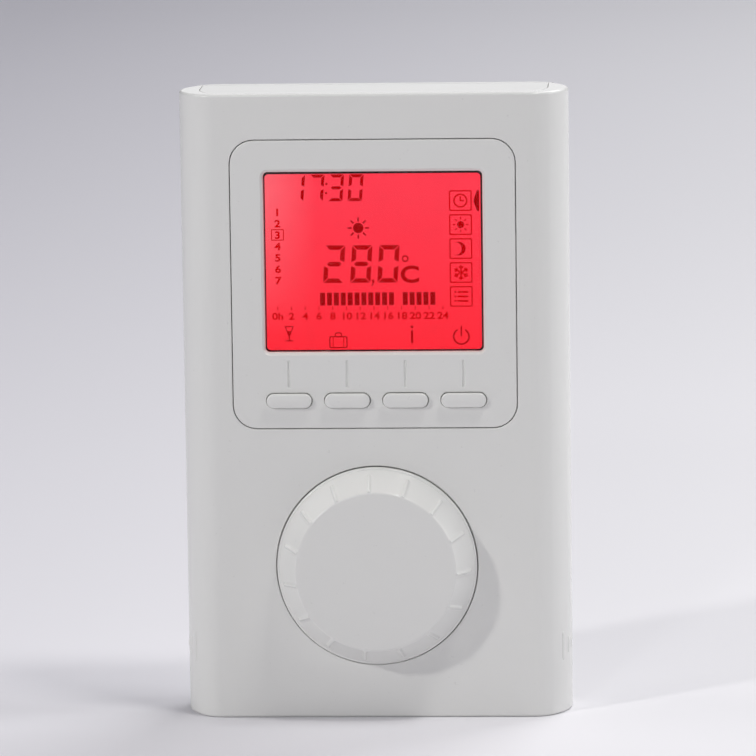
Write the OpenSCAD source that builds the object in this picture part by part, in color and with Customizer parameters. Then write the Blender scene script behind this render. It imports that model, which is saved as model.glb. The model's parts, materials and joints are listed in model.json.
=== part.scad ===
// Programmable room timer for a heating boiler: a battery unit with a display, four keys and a
// dial, which pulls off a wall plate that holds the mains terminals.
// +X runs right across the front, -Y is the user's side, +Z is up. The origin is on the ground,
// below the middle of the whole box. "Depth" counts from the flat front of the case to the wall.

/* [Case] */
// Width of the case
case_w = 82; // [80:1:90]
// Height of the case
case_h = 133; // [131:1:140]
// Depth from the flat front to the wall
case_d = 22; // [22:0.5:25]
// Thickness of the front wall
front_wall = 2.2; // [1.8:0.1:2.4]
// Thickness of the rim at the two rounded ends
rim_w = 4.2; // [3.6:0.1:4.6]
// Length of each oval end, measured along the width
oval_end = 8; // [8:0.5:9]
// Radius of the arcs that lead from the flats into the oval ends
oval_r = 6; // [5:0.5:6]

/* [Display panel] */
// Width of the rounded square panel
panel_w = 59.7; // [58:0.1:61]
// Height of the rounded square panel
panel_h = 61; // [59:0.1:62]
// Height of the panel's centre above the ground
panel_z = 92.8; // [92:0.1:94]
// Corner radius of the panel
panel_r = 5; // [4:0.5:9]
// Width of the display opening
window_w = 46; // [42:0.5:48]
// Height of the display opening
window_h = 38.2; // [34:0.2:39]
// Height of the display opening's centre above the ground
window_z = 97.5; // [97:0.1:98]

/* [Keys] */
// Length of a key
key_w = 9.5; // [8:0.1:10.5]
// Height of a key
key_h = 3; // [2.6:0.1:3.4]
// Distance from one key to the next
key_pitch = 12.25; // [11.8:0.05:12.6]
// Height of the row of keys above the ground
key_z = 68.2; // [67.6:0.1:68.6]
// How far a key stands out of the panel
key_proud = 1; // [0.8:0.1:1.4]
// Travel of a key
key_travel = 0.6; // [0.3:0.1:0.6]

/* [Dial] */
// Radius of the dial at its foot
dial_r = 21.15; // [20:0.05:21.3]
// Radius of the dial's flat face
dial_face_r = 16.9; // [15:0.1:17.5]
// How far the dial stands out of the front
dial_proud = 7.8; // [7:0.1:10]
// Height of the dial's centre above the ground
dial_z = 32.8; // [32:0.1:33.5]
// Number of finger ribs round the dial
dial_ribs = 15; // [8:1:20]
// Angle by which the first rib is turned from the horizontal
dial_phase = -2; // [-12:1:12]

/* [Wall plate] */
// Distance between the two mounting screws
screw_pitch = 60; // [60:0.5:61]
// Radius of the mounting holes
screw_hole_r = 2.1; // [1.8:0.1:2.6]
// Thickness of the wall plate
plate_t = 2.2; // [1.8:0.1:2.4]

/* [Hidden] */
$fn = 64;

// Places along Y
total_d = case_d + dial_proud;
front_y = dial_proud - total_d / 2;
mid_y = front_y + case_d / 2;

// Clearances
fit_gap = 0.2;       // between moulded parts that are fixed together
seam_gap = 0.3;      // visible seam round the display panel
key_gap = 0.25;      // round a key
dial_gap = 0.4;      // round the dial
unit_gap = 0.4;      // between the unit's back and the wall plate
eps = 0.01;

// Depths of the layers, counted from the flat front
plate_front = case_d - plate_t;
unit_back = plate_front - unit_gap;
back_wall = 1.6;
back_inner = unit_back - back_wall;
panel_flange_t = 0.8;
panel_back = front_wall + panel_flange_t;
window_front = 1.3;
lcd_front = panel_back + 0.1;
lcd_back = lcd_front + 2;
board_front = 6.6;
board_t = 1;
board_back = board_front + board_t;
guide_front = lcd_back + 0.1;
guide_back = board_front - 0.1;

// Inside of the sleeve, seen from above
inner_w = case_w - 2 * rim_w;
inner_d = case_d - 2 * front_wall;
inner_end = oval_end - 2.5;
inner_r = oval_r - 1.5;
cap_t = 1.8;

// Screw bosses that join the two halves of the unit, and posts that carry the board
boss_x = case_w / 2 - 9.5;
boss_zs = [5.2, case_h - 4.8];
boss_r = 2.8;
case_screw_r = 1.2;
post_x = case_w / 2 - 10;
post_zs = [13, 58];
post_r = 2;
board_screw_r = 0.95;

// Display stack
lcd_w = window_w + 6;
lcd_h = window_h + 6.8;
guide_w = window_w + 2;
guide_h = window_h + 1.6;
frame_wall = 1.8;
frame_gap = 0.2;
zebra_w = 46;
zebra_t = 1.4;
led_w = 1.6;
led_h = 3;

// Keys and their switches
key_xs = [for (i = [0 : 3]) (i - 1.5) * key_pitch + 0.3];
key_back = panel_back + 0.15;
key_collar = 0.6;
key_collar_t = 0.45;
switch_w = 6;
switch_h = 3.6;
switch_front = 4.5;
plunger_r = 0.9;
plunger_bore_r = plunger_r + 0.08;
plunger_back = switch_front + 0.15;
groove_w = 0.5;
groove_len = 5.8;
groove_depth = 0.45;
groove_rise = 2.7;   // from the middle of a key to the foot of its groove

// Dial, its recess in the front and its encoder
recess_r = dial_r + dial_gap;
recess_depth = 1.4;
recess_floor = 1.6;
recess_rim = 1.5;
dial_foot = 1;
dial_rim_h = 0.9;
dial_bevel = 0.45;
dial_crown = 0.35;
dial_wall = 1.7;
hub_r = 5;
shaft_r = 3;
shaft_clear = 0.05;
shaft_top = 6;
shaft_flat = 1.5;
bush_r = 3.75;
bush_top = 1;
encoder_w = 11.7;
encoder_front = recess_depth + recess_floor + 0.1;
encoder_back = board_front - 0.05;
shaft_back = encoder_back - 1.2;
nut_af = 10;
nut_t = 1.5;
rib_r = 0.45;

// Grip ribs low on each side: angle round the end's arc and length of each
grip_angles = [30.5, 19.5, 10];
grip_lengths = [6.2, 3.8, 2];
grip_z = 14.5;
grip_r = 0.7;
grip_sink = 0.52;

// Batteries, AAA size, lying across the unit
cell_r = 5.25;
cell_len = 43.7;
cell_nub_r = 1.9;
cell_nub_len = 0.8;
bay_w = 50.6;
bay_h = 23.6;
bay_z = 30;
bay_floor = 8.8;
cell_depth = unit_back - cell_r - 0.05;
cell_zs = [bay_z - bay_h / 4, bay_z + bay_h / 4];
spring_wire = 0.35;
spring_turns = 3;
spring_small_r = 2;
spring_large_r = 3.6;
contact_t = 0.4;
contact_w = 8;

// Wiring space behind the board, and the terminals in it
pocket_w = 42;
pocket_z = [54.5, 111];
pocket_floor = 10.4;
pocket_wall = 1;
block_w = 36;
block_h = 15;
block_z = 100;
block_front = 12.4;
poles = 3;
pole_pitch = 10;
clamp_w = 6;
clamp_h = 8;
clamp_front = 13.6;
clamp_back = 18.6;
terminal_screw_r = 1.5;
terminal_head_r = 2.4;
blade_w = 4;
blade_t = 0.6;
blade_front = 9;
blade_z = block_z + 5;
socket_w = 29;
socket_h = 6;
socket_back = pocket_floor + 1.2;
slot_play = 0.1;
cable_w = 40;
cable_h = 22;
cable_z = 66.5;
tongue_w = 8;
tongue_t = 1.8;
tongue_reach = 4.4;
tongue_nose = 1;
tongue_xs = [-24, 24];
tongue_zs = [8.5, case_h - 9];
slot_clear = 0.5;

// ---- Outlines ----

// Flat front and back, joined at each end by two small arcs and one large one that touch
module oval(w, d, end, r) {
  flat = w / 2 - end;
  side_r = (end * end + d * d / 4 - d * r) / (2 * (end - r));
  side_x = w / 2 - side_r;
  reach = 4;
  square([2 * flat, d], center = true);
  for (side = [0, 1]) mirror([side, 0]) {
    for (s = [-1, 1]) translate([flat, s * (d / 2 - r)]) circle(r = r);
    intersection() {
      translate([side_x, 0]) circle(r = side_r);
      polygon([
        [side_x, 0],
        [side_x + reach * (flat - side_x), -reach * (d / 2 - r)],
        [side_x + reach * (flat - side_x), reach * (d / 2 - r)]
      ]);
    }
  }
}

module case_plan() translate([0, mid_y]) oval(case_w, case_d, oval_end, oval_r);

// The hollow of the sleeve: oval at the front, straight at the back
module hollow_plan(gap = 0) {
  translate([0, mid_y])
    oval(inner_w - 2 * gap, inner_d - 2 * gap, inner_end - gap, inner_r - gap);
  translate([-inner_w / 2 + gap, mid_y]) square([inner_w - 2 * gap, case_d / 2]);
}

// Everything between two depths
module depth_slab(d0, d1)
  translate([-case_w, front_y + d0, -case_h]) cube([2 * case_w, d1 - d0, 3 * case_h]);

module rounded(w, h, r) {
  square([w - 2 * r, h], center = true);
  square([w, h - 2 * r], center = true);
  for (x = [-1, 1], z = [-1, 1]) translate([x * (w / 2 - r), z * (h / 2 - r)]) circle(r = r);
}

module pill(w, h) rounded(w, h, h / 2 - eps);

// Extrudes an outline of the front view, in X and Z, from depth d0 to depth d1
module from_front(d0, d1)
  translate([0, front_y + d0, 0]) rotate([90, 0, 0]) mirror([0, 0, 1])
    linear_extrude(d1 - d0) children();

// Box given by its middle in the front view, its size there and its two depths
module block(x, z, w, h, d0, d1)
  translate([x - w / 2, front_y + d0, z - h / 2]) cube([w, d1 - d0, h]);

// Round rod along the depth
module rod(x, z, r, d0, d1)
  translate([x, front_y + d0, z]) rotate([-90, 0, 0]) cylinder(r = r, h = d1 - d0);

// ---- Wall plate and mains terminals ----

module tongue(x, z, up) {
  nose = up ? 1 : -1;
  block(x, z, tongue_w, tongue_t, plate_front - tongue_reach, plate_front);
  block(x, z + nose * (tongue_t / 2 + tongue_nose / 2), tongue_w, tongue_nose,
    plate_front - tongue_reach, plate_front - tongue_reach + tongue_nose);
}

module wall_plate() color([0.86, 0.86, 0.85]) {
  difference() {
    intersection() {
      linear_extrude(case_h) case_plan();
      depth_slab(plate_front, case_d);
    }
    for (s = [-1, 1])
      rod(s * screw_pitch / 2, cable_z, screw_hole_r, plate_front - eps, case_d + eps);
    translate([0, 0, cable_z]) from_front(plate_front - eps, case_d + eps)
      rounded(cable_w, cable_h, 3);
  }
  for (x = tongue_xs, i = [0, 1]) tongue(x, tongue_zs[i], i == 1);
}

// Middle of one pole
function pole_x(i) = (i - (poles - 1) / 2) * pole_pitch;

module terminal_block() color([0.25, 0.26, 0.28]) difference() {
  block(0, block_z, block_w, block_h, block_front, plate_front);
  for (i = [0 : poles - 1]) {
    // Room for the clamp, the wire from below, the screwdriver and the blade
    block(pole_x(i), block_z, clamp_w, clamp_h, clamp_front, clamp_back);
    translate([pole_x(i), front_y + (clamp_front + clamp_back) / 2, block_z - block_h])
      cylinder(r = 2, h = block_h);
    rod(pole_x(i), block_z, terminal_head_r + fit_gap, block_front - eps, clamp_front + eps);
    block(pole_x(i), blade_z, blade_w, blade_t, block_front - eps, clamp_back);
  }
}

module terminal_clamps() color([0.85, 0.7, 0.3]) for (i = [0 : poles - 1]) difference() {
  block(pole_x(i), block_z, clamp_w - 0.1, clamp_h - 0.1, clamp_front + 0.05, clamp_back - 0.05);
  translate([pole_x(i), front_y + (clamp_front + clamp_back) / 2, block_z - clamp_h])
    cylinder(r = 1.6, h = 2 * clamp_h);
  rod(pole_x(i), block_z, terminal_screw_r, clamp_front - eps, clamp_back - 2);
}

module terminal_screws() color([0.75, 0.76, 0.78]) for (i = [0 : poles - 1]) {
  rod(pole_x(i), block_z, terminal_screw_r - 0.02, clamp_front - 0.1, clamp_back - 2.4);
  difference() {
    rod(pole_x(i), block_z, terminal_head_r, block_front + 0.2, clamp_front - 0.05);
    block(pole_x(i), block_z, 2 * terminal_head_r + 1, 0.7, block_front, block_front + 0.8);
  }
}

module contact_blades() color([0.85, 0.7, 0.3]) for (i = [0 : poles - 1])
  block(pole_x(i), blade_z, blade_w - 0.04, blade_t - 0.04, blade_front, clamp_back - 0.1);

// ---- Case of the unit ----

module grip_ribs() {
  side_r = (oval_end * oval_end + case_d * case_d / 4 - case_d * oval_r)
    / (2 * (oval_end - oval_r));
  for (side = [0, 1], i = [0 : len(grip_angles) - 1]) mirror([side, 0, 0])
    translate([
      case_w / 2 - side_r + (side_r - grip_sink) * cos(grip_angles[i]),
      mid_y - (side_r - grip_sink) * sin(grip_angles[i]),
      grip_z - grip_lengths[i] / 2
    ]) {
      cylinder(r = grip_r, h = grip_lengths[i]);
      for (z = [0, grip_lengths[i]]) translate([0, 0, z]) sphere(r = grip_r);
    }
}

module front_shell() color([0.93, 0.93, 0.92]) {
  difference() {
    union() {
      difference() {
        linear_extrude(case_h) case_plan();
        translate([0, 0, -eps]) linear_extrude(case_h + 2 * eps) hollow_plan();
        depth_slab(unit_back, 2 * case_d);
      }
      // Disc behind the dial that makes the floor of its recess
      rod(0, dial_z, recess_r + recess_rim, front_wall - eps, recess_depth + recess_floor);
      for (s = [-1, 1], z = boss_zs)
        rod(s * boss_x, z, boss_r, front_wall - eps, back_inner);
      for (s = [-1, 1], z = post_zs)
        rod(s * post_x, z, post_r, front_wall - eps, board_front);
    }
    translate([0, 0, panel_z]) from_front(-eps, front_wall + eps)
      rounded(panel_w + 2 * seam_gap, panel_h + 2 * seam_gap, panel_r + seam_gap);
    rod(0, dial_z, recess_r, -eps, recess_depth);
    rod(0, dial_z, bush_r + 0.05, recess_depth - eps, recess_depth + recess_floor + eps);
    for (s = [-1, 1], z = boss_zs)
      rod(s * boss_x, z, case_screw_r - 0.02, back_inner - 8, back_inner + eps);
    for (s = [-1, 1], z = post_zs)
      rod(s * post_x, z, board_screw_r - 0.02, board_front - 3, board_front + eps);
  }
  grip_ribs();
}

// Walled well that opens at the back and has a floor towards the board
module well(z, w, h, floor_d) difference() {
  block(0, z, w + 2 * pocket_wall, h + 2 * pocket_wall, floor_d - pocket_wall, back_inner + eps);
  block(0, z, w, h, floor_d, unit_back + eps);
}

module rear_case() color([0.88, 0.88, 0.87]) difference() {
  union() {
    intersection() {
      linear_extrude(case_h) hollow_plan(fit_gap);
      depth_slab(back_inner, unit_back);
    }
    for (z = [0, case_h - cap_t]) translate([0, 0, z]) intersection() {
      linear_extrude(cap_t) hollow_plan(fit_gap);
      translate([0, 0, -z]) depth_slab(0, unit_back);
    }
    // Low walls along both sides
    for (s = [-1, 1])
      block(s * (inner_w / 2 - fit_gap - 0.6), case_h / 2, 1.2, case_h, mid_y - front_y, unit_back);
    well(bay_z, bay_w, bay_h, bay_floor);
    well((pocket_z[0] + pocket_z[1]) / 2, pocket_w, pocket_z[1] - pocket_z[0], pocket_floor);
  }
  block(0, bay_z, bay_w, bay_h, bay_floor, unit_back + 1);
  block(0, (pocket_z[0] + pocket_z[1]) / 2, pocket_w, pocket_z[1] - pocket_z[0],
    pocket_floor, unit_back + 1);
  // Window for the socket, holes for the case screws and room for the wall screws' heads
  block(0, blade_z, socket_w + 1, socket_h + 1, pocket_floor - 2, pocket_floor + 1);
  for (s = [-1, 1], z = boss_zs) {
    rod(s * boss_x, z, case_screw_r + 0.2, back_inner - eps, unit_back + eps);
    rod(s * boss_x, z, 2.4, unit_back - 1, unit_back + eps);
  }
  for (s = [-1, 1]) rod(s * screw_pitch / 2, cable_z, 5, back_inner - 1, unit_back + 1);
  // Slots for the plate's tongues
  for (x = tongue_xs, i = [0, 1])
    block(x, tongue_zs[i] + (i == 1 ? 0.5 : -0.5) * tongue_nose, tongue_w + 2 * slot_clear,
      tongue_t + tongue_nose + 2 * slot_clear, back_inner - 1, unit_back + 1);
  // Air slots in the bottom
  for (x = [-3.5 : 1 : 3.5]) block(x * 6, 0, 2, 3 * cap_t, 6, 14);
}

module display_panel() color([0.92, 0.92, 0.91]) difference() {
  union() {
    translate([0, 0, panel_z]) from_front(0, front_wall + eps) rounded(panel_w, panel_h, panel_r);
    translate([0, 0, panel_z]) from_front(front_wall, panel_back)
      rounded(panel_w + 2.9, panel_h + 2.9, panel_r + 1.2);
  }
  translate([0, 0, window_z]) from_front(-eps, panel_back + eps) rounded(window_w, window_h, 1);
  for (x = key_xs) {
    translate([x, 0, key_z]) from_front(-eps, panel_back + eps)
      pill(key_w + 2 * key_gap, key_h + 2 * key_gap);
    translate([x, 0, key_z + groove_rise + groove_len / 2]) from_front(-eps, groove_depth)
      pill_upright(groove_w, groove_len);
  }
}

module pill_upright(w, h) rotate(90) pill(h, w);

// ---- Display ----

module display_window() color([0.95, 0.35, 0.35, 0.5])
  translate([0, 0, window_z]) from_front(window_front, panel_back)
    rounded(window_w - 0.1, window_h - 0.1, 0.95);

module lcd_cell() color([0.85, 0.15, 0.2])
  block(0, window_z, lcd_w, lcd_h, lcd_front, lcd_back);

module lcd_frame() color([0.95, 0.95, 0.95]) difference() {
  block(0, window_z, lcd_w + 2 * (frame_gap + frame_wall), lcd_h + 2 * (frame_gap + frame_wall),
    lcd_front, guide_back);
  block(0, window_z, lcd_w + 2 * frame_gap, lcd_h + 2 * frame_gap, 0, board_front);
}

module light_guide() color([1, 0.5, 0.5])
  block(0, window_z, guide_w, guide_h, guide_front, guide_back);

module backlight_leds() color([0.9, 0.2, 0.2]) for (s = [-1, 1], z = [-1, 1])
  block(s * (guide_w / 2 + led_w / 2 + 0.1), window_z + z * guide_h / 4, led_w, led_h,
    guide_front + 0.1, board_front);

module zebra_strips() color([0.35, 0.35, 0.38]) for (s = [-1, 1])
  block(0, window_z + s * (guide_h / 2 + 0.4 + zebra_t / 2), zebra_w, zebra_t, lcd_back, board_front);

// ---- Board and what is soldered to it ----

module main_board() color([0.1, 0.4, 0.22]) difference() {
  block(0, 66.7, case_w - 15, 114.5, board_front, board_back);
  for (s = [-1, 1], z = post_zs)
    rod(s * post_x, z, board_screw_r + 0.15, board_front - eps, board_back + eps);
}

module microcontroller() color([0.12, 0.12, 0.13]) {
  block(0, 82, 10, 10, board_back + 0.1, board_back + 1.1);
  for (i = [-5.5 : 1 : 5.5], s = [-1, 1]) {
    block(i * 0.8, 82 + s * 5.4, 0.3, 1.2, board_back, board_back + 0.3);
    block(s * 5.4, 82 + i * 0.8, 1.2, 0.3, board_back, board_back + 0.3);
  }
}

module clock_crystal() color([0.75, 0.76, 0.78])
  translate([8, front_y + board_back + 0.75, 68]) cylinder(r = 0.75, h = 6);

module relay() color([0.15, 0.3, 0.6]) block(28.7, 97.5, 10.4, 19, board_back, board_back + 9);

module capacitors() color([0.2, 0.2, 0.35]) for (z = [88, 97]) {
  rod(-28.5, z, 3, board_back, board_back + 6.5);
}

module contact_socket() color([0.3, 0.3, 0.32]) difference() {
  block(0, blade_z, socket_w, socket_h, board_back, socket_back);
  for (i = [0 : poles - 1])
    block(pole_x(i), blade_z, blade_w + 2 * slot_play, blade_t + 2 * slot_play,
      blade_front - 0.4, socket_back + eps);
}

// Bead on two wires that hang below the board, over the air slots
module temperature_sensor() color([0.2, 0.2, 0.22]) {
  translate([20, front_y + board_back + 0.2, 5]) {
    cylinder(r = 1.2, h = 2.4);
    for (s = [-1, 1]) translate([s * 0.6 - 0.2, -0.2, 2.4]) cube([0.4, 0.4, 4]);
  }
}

module encoder_body() color([0.6, 0.61, 0.63]) difference() {
  union() {
    block(0, dial_z, encoder_w, encoder_w, encoder_front, encoder_back);
    rod(0, dial_z, bush_r, -bush_top, encoder_front + eps);
  }
  rod(0, dial_z, shaft_r + shaft_clear, -bush_top - eps, shaft_back + 0.3);
}

module encoder_nut() color([0.8, 0.8, 0.82]) difference() {
  translate([0, front_y + recess_depth - nut_t, dial_z]) rotate([-90, 0, 0])
    cylinder(r = nut_af / 2 / cos(30), h = nut_t, $fn = 6);
  rod(0, dial_z, bush_r, recess_depth - 2 * nut_t, recess_depth + eps);
}

module key_switches() color([0.2, 0.2, 0.22]) for (x = key_xs) difference() {
  block(x, key_z, switch_w, switch_h, switch_front, board_front);
  rod(x, key_z, plunger_bore_r, switch_front - eps, plunger_back + key_travel + 0.15);
}

module board_screws() color([0.75, 0.76, 0.78]) for (s = [-1, 1], z = post_zs) {
  rod(s * post_x, z, board_screw_r - 0.02, board_front - 2.6, board_back + eps);
  rod(s * post_x, z, 1.9, board_back, board_back + 1);
}

module case_screws() color([0.75, 0.76, 0.78]) for (s = [-1, 1], z = boss_zs) difference() {
  union() {
    rod(s * boss_x, z, case_screw_r - 0.02, back_inner - 7, unit_back - 1 + eps);
    rod(s * boss_x, z, 2.2, unit_back - 1, unit_back - 0.1);
  }
  for (turn = [0, 90]) translate([s * boss_x, 0, z]) rotate([0, turn, 0])
    block(0, 0, 2.4, 0.5, unit_back - 0.7, unit_back);
}

// ---- Batteries ----

// Cell that lies along X, its button end pointing right when side is 1 and left when it is -1
module cell(z, side) {
  shift = side * (bay_w / 2 - contact_t - 0.1 - cell_nub_len);
  translate([shift, front_y + cell_depth, z]) rotate([0, side * 90, 0]) {
    translate([0, 0, -cell_len]) cylinder(r = cell_r, h = cell_len);
    cylinder(r = cell_nub_r, h = cell_nub_len);
  }
}

module battery_lower() color([0.2, 0.45, 0.3]) cell(cell_zs[0], 1);

module battery_upper() color([0.2, 0.45, 0.3]) cell(cell_zs[1], -1);

// Ring of points round the wire at a given part of the coil, from 0 to 1
function coil_ring(part, length) =
  let (
    turn = part * spring_turns * 360,
    radius = spring_large_r + (spring_small_r - spring_large_r) * part
  )
  [for (k = [0 : 4]) [
    (radius + spring_wire * cos(72 * k)) * cos(turn),
    (radius + spring_wire * cos(72 * k)) * sin(turn),
    spring_wire + part * (length - 2 * spring_wire) + spring_wire * sin(72 * k)
  ]];

module coil_spring(length) {
  rings = spring_turns * 14;
  points = [for (i = [0 : rings]) each coil_ring(i / rings, length)];
  sides = [for (i = [0 : rings - 1], k = [0 : 4])
    [5 * i + k, 5 * i + (k + 1) % 5, 5 * i + 5 + (k + 1) % 5, 5 * i + 5 + k]];
  ends = [[for (k = [4 : -1 : 0]) k], [for (k = [0 : 4]) 5 * rings + k]];
  polyhedron(points, concat([for (f = sides) [f[3], f[2], f[1], f[0]]],
    [for (f = ends) [for (k = [4 : -1 : 0]) f[k]]]));
}

module battery_springs() color([0.8, 0.8, 0.82]) {
  length = bay_w - 2 * contact_t - cell_len - cell_nub_len - 0.3;
  for (i = [0, 1]) {
    side = i == 0 ? -1 : 1;
    translate([side * (bay_w / 2 - contact_t - 0.02), front_y + cell_depth, cell_zs[i]])
      rotate([0, -side * 90, 0]) coil_spring(length);
  }
}

module battery_contacts() color([0.8, 0.8, 0.82]) for (s = [-1, 1], z = cell_zs)
  block(s * (bay_w / 2 - contact_t / 2 - 0.02), z, contact_t, contact_w,
    cell_depth - contact_w / 2, cell_depth + contact_w / 2);

// ---- Dial ----

// Outline of half the dial: radius, then height above the front
function dial_outline() = [
  [0, dial_proud],
  [dial_face_r, dial_proud - dial_crown],
  [dial_r - dial_bevel, dial_rim_h],
  [dial_r, dial_rim_h - dial_bevel],
  [dial_r, -dial_foot],
  [dial_r - dial_wall, -dial_foot],
  [dial_r - dial_wall, dial_rim_h],
  [dial_face_r - dial_wall / 2, dial_proud - dial_crown - dial_wall],
  [0, dial_proud - dial_wall]
];

// Rib that lies on the cone, from the edge of the face down most of the slope
module dial_rib() {
  rise = dial_proud - dial_crown - dial_rim_h;
  run = dial_r - dial_bevel - dial_face_r;
  translate([dial_r - dial_bevel - 0.2 * run, 0, dial_rim_h + 0.2 * rise])
    rotate([0, -atan2(run, rise), 0]) cylinder(r = rib_r, h = 0.76 * norm([rise, run]));
}

module dial_knob() color([0.94, 0.94, 0.93])
  translate([0, front_y, dial_z]) rotate([90, 0, 0]) difference() {
    union() {
      rotate_extrude() polygon(dial_outline());
      for (i = [0 : dial_ribs - 1]) rotate(dial_phase + i * 360 / dial_ribs) dial_rib();
      translate([0, 0, bush_top + 0.4]) cylinder(r = hub_r, h = dial_proud - bush_top - 1.2);
    }
    difference() {
      translate([0, 0, -dial_foot]) cylinder(r = shaft_r + 0.01, h = shaft_top + dial_foot + 0.1);
      translate([shaft_r - shaft_flat + 0.01, -shaft_r, bush_top + 0.2])
        cube([shaft_r, 2 * shaft_r, dial_proud]);
    }
  }

module encoder_shaft() color([0.8, 0.8, 0.82])
  translate([0, front_y, dial_z]) rotate([90, 0, 0]) difference() {
    translate([0, 0, -shaft_back]) cylinder(r = shaft_r, h = shaft_top + shaft_back);
    translate([shaft_r - shaft_flat, -shaft_r, bush_top + 0.2])
      cube([shaft_r, 2 * shaft_r, dial_proud]);
  }

// ---- Keys ----

module key(i) color([0.94, 0.94, 0.93]) {
  translate([key_xs[i], 0, key_z]) from_front(-key_proud, key_back + eps) pill(key_w, key_h);
  translate([key_xs[i], 0, key_z]) from_front(key_back, key_back + key_collar_t)
    pill(key_w + 2 * key_collar, key_h + 2 * key_collar);
}

module switch_plunger(i) color([0.15, 0.15, 0.16])
  rod(key_xs[i], key_z, plunger_r, key_back + key_collar_t, plunger_back);

wall_plate();
terminal_block();
terminal_clamps();
terminal_screws();
contact_blades();
front_shell();
rear_case();
display_panel();
display_window();
lcd_cell();
lcd_frame();
light_guide();
backlight_leds();
zebra_strips();
main_board();
microcontroller();
clock_crystal();
relay();
capacitors();
contact_socket();
temperature_sensor();
encoder_body();
encoder_nut();
key_switches();
board_screws();
case_screws();
battery_upper();
battery_lower();
battery_springs();
battery_contacts();
dial_knob();
encoder_shaft();
key(0);  // key_1
key(1);  // key_2
key(2);  // key_3
key(3);  // key_4
switch_plunger(0);  // switch_plunger_1
switch_plunger(1);  // switch_plunger_2
switch_plunger(2);  // switch_plunger_3
switch_plunger(3);  // switch_plunger_4
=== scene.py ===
import json
import math

import bmesh
import bpy
import numpy as np
from mathutils import Matrix, Vector
from mathutils.geometry import tessellate_polygon

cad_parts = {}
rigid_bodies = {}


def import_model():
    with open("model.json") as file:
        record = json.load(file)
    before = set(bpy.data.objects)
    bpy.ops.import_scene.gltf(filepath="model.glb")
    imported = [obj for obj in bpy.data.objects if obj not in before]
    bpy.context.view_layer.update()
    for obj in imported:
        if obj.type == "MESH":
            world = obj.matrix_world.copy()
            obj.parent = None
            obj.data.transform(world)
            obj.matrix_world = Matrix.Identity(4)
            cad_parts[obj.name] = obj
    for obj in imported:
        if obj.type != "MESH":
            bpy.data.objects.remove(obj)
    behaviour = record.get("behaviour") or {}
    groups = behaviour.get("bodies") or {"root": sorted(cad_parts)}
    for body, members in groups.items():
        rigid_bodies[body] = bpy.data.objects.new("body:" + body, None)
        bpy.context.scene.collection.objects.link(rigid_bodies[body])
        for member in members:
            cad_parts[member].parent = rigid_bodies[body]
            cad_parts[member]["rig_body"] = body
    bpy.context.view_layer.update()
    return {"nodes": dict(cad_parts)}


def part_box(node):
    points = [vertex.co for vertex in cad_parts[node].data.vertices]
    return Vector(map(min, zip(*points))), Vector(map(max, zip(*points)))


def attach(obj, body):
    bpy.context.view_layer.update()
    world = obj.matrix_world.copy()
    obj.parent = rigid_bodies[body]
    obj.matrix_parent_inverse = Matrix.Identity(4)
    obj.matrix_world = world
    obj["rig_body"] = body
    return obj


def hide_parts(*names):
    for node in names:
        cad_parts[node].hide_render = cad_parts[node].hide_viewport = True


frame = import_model()

# ---- Camera ----
# A long lens a little over a metre away, slightly above the case and to the right of its middle,
# aimed at the flat front. That front is the datum: "depth" counts from it towards the wall.
MM = 0.001
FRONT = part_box("display_panel")[0].y / MM
CASE_W = 2 * round(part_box("front_shell")[1].x / MM, 1)
CASE_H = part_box("front_shell")[1].z / MM
camera_distance = 1.12149
azimuth, elevation, roll = (math.radians(a) for a in (2.768, 8.955, -0.7505))
aim = Vector((0.682, FRONT, 72.949)) * MM
back = Vector((
    math.sin(azimuth) * math.cos(elevation),
    -math.cos(azimuth) * math.cos(elevation),
    math.sin(elevation),
))
level = Vector((math.cos(azimuth), math.sin(azimuth), 0))
upright = back.cross(level)
right = math.cos(roll) * level + math.sin(roll) * upright
above = math.cos(roll) * upright - math.sin(roll) * level
lens = bpy.data.cameras.new("studio_lens")
lens.sensor_width = 36
lens.lens = 254
camera = bpy.data.objects.new("studio_camera", lens)
camera.matrix_world = Matrix.Translation(aim + back * camera_distance) @ Matrix(
    (right, above, back)
).transposed().to_4x4()
bpy.context.collection.objects.link(camera)
bpy.context.scene.camera = camera


# ---- Studio ----
# A wide sheet of pale lilac-grey paper under and behind the timer, with the lamps' falloff painted into its
# colour, and eight soft boxes: a key at the upper left, two overhead, one at each side, a low one in front,
# and two behind.
bpy.context.scene.view_settings.view_transform = "Standard"


def add_node(tree, kind, inputs=None, **settings):
    """New shader node. Each input takes a value, or a link where it is given another node's socket."""
    node = tree.nodes.new("ShaderNode" + kind)
    for name, value in settings.items():
        setattr(node, name, value)
    for name, value in (inputs or {}).items():
        if isinstance(value, bpy.types.NodeSocket):
            tree.links.new(value, node.inputs[name])
        else:
            node.inputs[name].default_value = value
    return node


def srgb(r, g, b):
    """Linear colour of an sRGB triple from 0 to 255, by the 2.4 power law."""
    c = np.array([r, g, b]) / 255
    return (*np.where(c <= 0.04045, c / 12.92, ((c + 0.055) / 1.055) ** 2.4).tolist(), 1)


paper = bpy.data.materials.new("studio_paper")
paper.use_nodes = True
tree = paper.node_tree
place = add_node(tree, "TexCoord").outputs["Object"]
axes = add_node(tree, "SeparateXYZ", {"Vector": place})
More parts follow.
